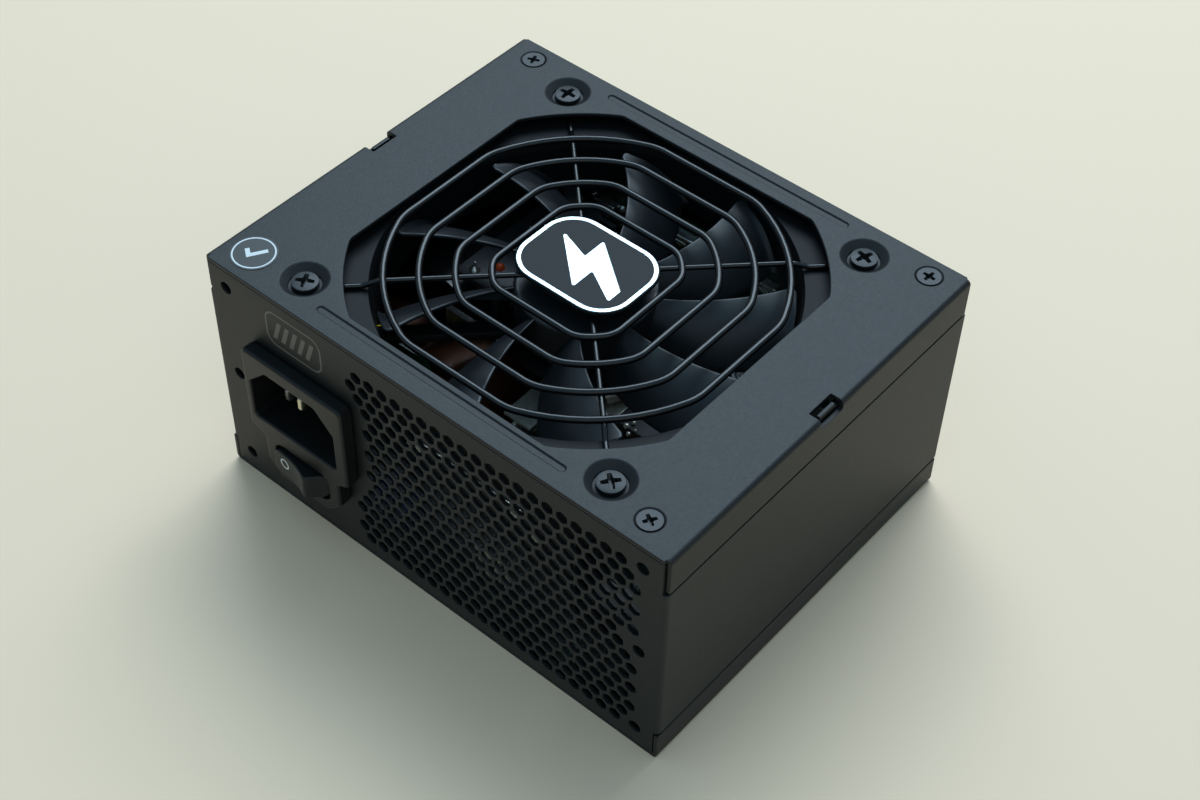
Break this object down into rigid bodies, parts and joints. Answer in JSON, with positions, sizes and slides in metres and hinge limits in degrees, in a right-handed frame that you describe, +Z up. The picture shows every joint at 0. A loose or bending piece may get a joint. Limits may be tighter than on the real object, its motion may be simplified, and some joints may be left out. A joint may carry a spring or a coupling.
{
  "type": "power supply unit",
  "caption": "Compact modular power supply: folded metal case, caged fan on top, mains inlet with rocker switch at the vented end, output sockets at the other.",
  "frame": {"origin": "centre of the case's underside", "axes": "+X along the case's width, to the right of someone facing the mains end; +Y from the mains end to the socket end; +Z up, the fan side"},
  "size_m": [0.125, 0.1066, 0.0646],
  "materials": {
    "case_paint": "fine textured matte powder coat",
    "grille_wire": "satin black coat on wire",
    "black_steel": "black zinc",
    "sticker": "printed, satin",
    "bright_steel": "plain",
    "badge_face": "domed clear lens over a printed face",
    "fan_plastic": "satin",
    "black_plastic": "satin",
    "white_plastic": "satin",
    "brass": "plain",
    "copper": "enamelled copper wire",
    "ferrite": "sintered",
    "board": "solder mask",
    "wire_black": "sleeved",
    "wire_yellow": "smooth insulation",
    "clear_film": "thin film",
    "yellow_case": "moulded box",
    "blue_lacquer": "dipped lacquer",
    "green_core": "epoxy coat",
    "yellow_core": "epoxy coat",
    "fuse_glass": "ceramic tube with end caps",
    "aluminium": "plain",
    "dark_aluminium": "black anodised",
    "black_sleeve": "shrink sleeve",
    "capacitor_can": "plain can",
    "yellow_tape": "winding tape",
    "tinned_copper": "tinned"
  },
  "bodies": {
    "case": {"top_cover": "case_paint", "wrap_shell": "case_paint", "bottom_tray": "case_paint", "insulation_sheet": "clear_film", "cover_screws": "black_steel", "base_screws": "black_steel", "seal_sticker": "sticker", "fan_screws": "black_steel", "fan_grille": "grille_wire", "badge_plate": "bright_steel", "badge": "badge_face", "fan_frame": "fan_plastic", "fan_bearing": "brass", "fan_stator": "bright_steel", "fan_coils": "copper", "fan_board": "board", "fan_lead": "wire_black", "fan_plug": "white_plastic", "fan_header": "white_plastic", "inlet_housing": "black_plastic", "earth_pin": "brass", "line_pins": "bright_steel", "switch_terminals": "brass", "main_board": "board", "board_spacers": "brass", "board_screws": "bright_steel", "filter_board": "board", "filter_capacitor": "yellow_case", "disc_capacitors": "blue_lacquer", "line_choke": "green_core", "choke_windings": "copper", "fuse": "fuse_glass", "thermistor": "green_core", "relay": "black_plastic", "bridge_rectifier": "black_plastic", "bridge_heatsink": "aluminium", "boost_core": "yellow_core", "boost_winding": "copper", "bulk_capacitor": "black_sleeve", "primary_heatsink": "dark_aluminium", "power_transistors": "black_plastic", "transformer_core": "ferrite", "transformer_winding": "yellow_tape", "resonant_inductor": "yellow_tape", "standby_transformer": "black_plastic", "secondary_heatsink": "aluminium", "output_capacitors": "capacitor_can", "converter_board": "board", "bus_bars": "tinned_copper", "socket_board": "board", "modular_sockets": "black_plastic", "earth_wire": "wire_yellow"},
    "rotor": {"fan_rotor": "fan_plastic", "rotor_yoke": "bright_steel", "rotor_magnet": "ferrite", "fan_shaft": "bright_steel"},
    "rocker": {"switch_rocker": "black_plastic", "switch_plunger": "brass", "plunger_spring": "bright_steel"},
    "contact_lever": {"contact_lever": "copper"}
  },
  "joints": [
    {"name": "fan_spin", "type": "hinge", "parent": "case", "child": "rotor", "pos_m": [0, 0, 0.05], "axis": [0, 0, 1], "continuous": true},
    {"name": "rocker_tilt", "type": "hinge", "parent": "case", "child": "rocker", "pos_m": [-0.0348, -0.052, 0.0183], "axis": [0, 0, -1], "range_deg": [0, 20]},
    {"name": "contact_tilt", "type": "hinge", "parent": "case", "child": "contact_lever", "pos_m": [-0.0348, -0.0442, 0.0183], "axis": [0, 0, 1], "range_deg": [0, 14]}
  ],
  "couplings": [
    {"joint": "contact_tilt", "follows": "rocker_tilt", "ratio": 0.7}
  ]
}
